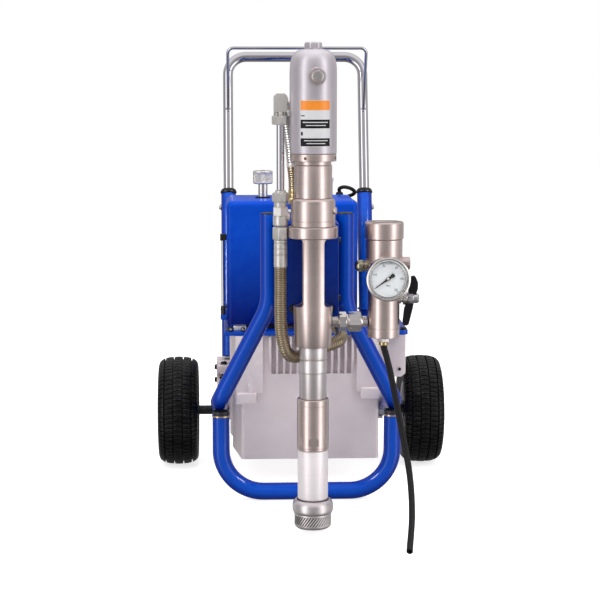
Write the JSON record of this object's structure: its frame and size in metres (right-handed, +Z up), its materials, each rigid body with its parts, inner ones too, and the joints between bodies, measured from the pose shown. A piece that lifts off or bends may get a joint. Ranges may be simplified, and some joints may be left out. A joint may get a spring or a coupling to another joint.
{
  "type": "airless paint sprayer",
  "caption": "Two-wheeled cart carrying a hydraulic reciprocating paint pump, oil tank, motor under a blue cover, outlet filter with gauge and drain valve, and a telescoping handle.",
  "frame": {"origin": "on the floor, in the middle of the flat underside of the front foot loop", "axes": "+X to the right for someone facing the pump, +Y from the pump towards the handle, +Z up"},
  "size_m": [0.681, 1.0987, 1.0059],
  "materials": {
    "blue_paint": "gloss powder coat",
    "stainless": "turned, lightly brushed",
    "silver_paint": "silver hammer paint",
    "casting": "cast, matt painted",
    "chrome": "polished",
    "machined_alloy": "turned",
    "dark_iron": "oiled",
    "black_plastic": "satin",
    "tyre": "matt, block tread",
    "rubber": "matt",
    "hose_braid": "bronze coloured guard over braid",
    "paper": "wire mesh and pleats"
  },
  "bodies": {
    "cart": {"frame_tube_left": "blue_paint", "frame_tube_right": "blue_paint", "foot_loop": "blue_paint", "upright_left": "blue_paint", "upright_right": "blue_paint", "axle_lug_left": "casting", "axle_lug_right": "casting", "axle": "dark_iron", "base_plate": "blue_paint", "pump_bracket": "blue_paint", "oil_tank": "casting", "drive_shroud": "blue_paint", "motor_housing": "casting", "fan_cover": "black_plastic", "hydraulic_pump": "casting", "drive_belt": "rubber", "terminal_box": "black_plastic", "power_cable": "rubber", "top_plug": "stainless", "valve_housing": "silver_paint", "side_plug": "stainless", "lock_ring": "stainless", "hydraulic_cylinder": "stainless", "lower_head": "stainless", "pump_yoke": "stainless", "rod_packing": "black_plastic", "trip_rod": "stainless", "pump_cylinder": "stainless", "cylinder_sleeve": "stainless", "foot_valve_body": "machined_alloy", "suction_strainer": "stainless", "elbow_fitting": "stainless", "riser_tube": "chrome", "union_fitting": "stainless", "pressure_hose": "hose_braid", "return_hose": "hose_braid", "outlet_fitting": "stainless", "filter_housing": "stainless", "filter_cap": "stainless", "filter_element": "paper", "gauge_case": "stainless", "drain_valve": "stainless", "drain_tube": "black_plastic"},
    "wheel_left": {"tyre_left": "tyre", "rim_left": "silver_paint"},
    "wheel_right": {"tyre_right": "tyre", "rim_right": "silver_paint"},
    "handle": {"handle_tube": "chrome", "hose_rack": "chrome"},
    "rotor": {"motor_rotor": "stainless", "cooling_fan": "black_plastic"},
    "pump_drive": {"pump_pulley": "stainless"},
    "knob": {"pressure_knob": "machined_alloy"},
    "piston": {"hydraulic_piston": "chrome", "rod_coupler": "stainless", "displacement_rod": "chrome"},
    "check_ball": {"inlet_ball": "stainless"},
    "needle": {"gauge_needle": "black_plastic"},
    "drain_handle": {"drain_lever": "black_plastic"},
    "switch": {"switch_lever": "black_plastic"}
  },
  "joints": [
    {"name": "wheel_left_spin", "type": "hinge", "parent": "cart", "child": "wheel_left", "pos_m": [-0.293, 0.362, 0.13], "axis": [1, 0, 0], "continuous": true},
    {"name": "wheel_right_spin", "type": "hinge", "parent": "cart", "child": "wheel_right", "pos_m": [0.293, 0.362, 0.13], "axis": [1, 0, 0], "continuous": true},
    {"name": "handle_slide", "type": "slide", "parent": "cart", "child": "handle", "axis": [0, 0.2588, 0.9659], "range_m": [-0.185, 0]},
    {"name": "motor_spin", "type": "hinge", "parent": "cart", "child": "rotor", "pos_m": [0.035, 0.3, 0.462], "axis": [0, 1, 0], "continuous": true},
    {"name": "pump_drive_spin", "type": "hinge", "parent": "cart", "child": "pump_drive", "pos_m": [-0.097, 0.2, 0.455], "axis": [0, 1, 0], "continuous": true},
    {"name": "pressure_knob_turn", "type": "hinge", "parent": "cart", "child": "knob", "pos_m": [-0.09, 0.262, 0.7], "axis": [0, 0, -1], "range_deg": [0, 1080]},
    {"name": "piston_stroke", "type": "slide", "parent": "cart", "child": "piston", "axis": [0, 0, 1], "range_m": [-0.038, 0.038]},
    {"name": "inlet_ball_lift", "type": "slide", "parent": "cart", "child": "check_ball", "axis": [0, 0, 1], "range_m": [0, 0.012]},
    {"name": "gauge_needle_turn", "type": "hinge", "parent": "cart", "child": "needle", "pos_m": [0.147, -0.3093, 0.528], "axis": [0, 1, 0], "range_deg": [0, 270]},
    {"name": "drain_lever_turn", "type": "hinge", "parent": "cart", "child": "drain_handle", "pos_m": [0.2, -0.238, 0.48], "axis": [1, 0, 0], "range_deg": [0, 90]},
    {"name": "switch_throw", "type": "hinge", "parent": "cart", "child": "switch", "pos_m": [0.08, 0.398, 0.64], "axis": [1, 0, 0], "range_deg": [-20, 20]}
  ],
  "couplings": [
    {"joint": "pump_drive_spin", "follows": "motor_spin", "ratio": 0.66667}
  ]
}
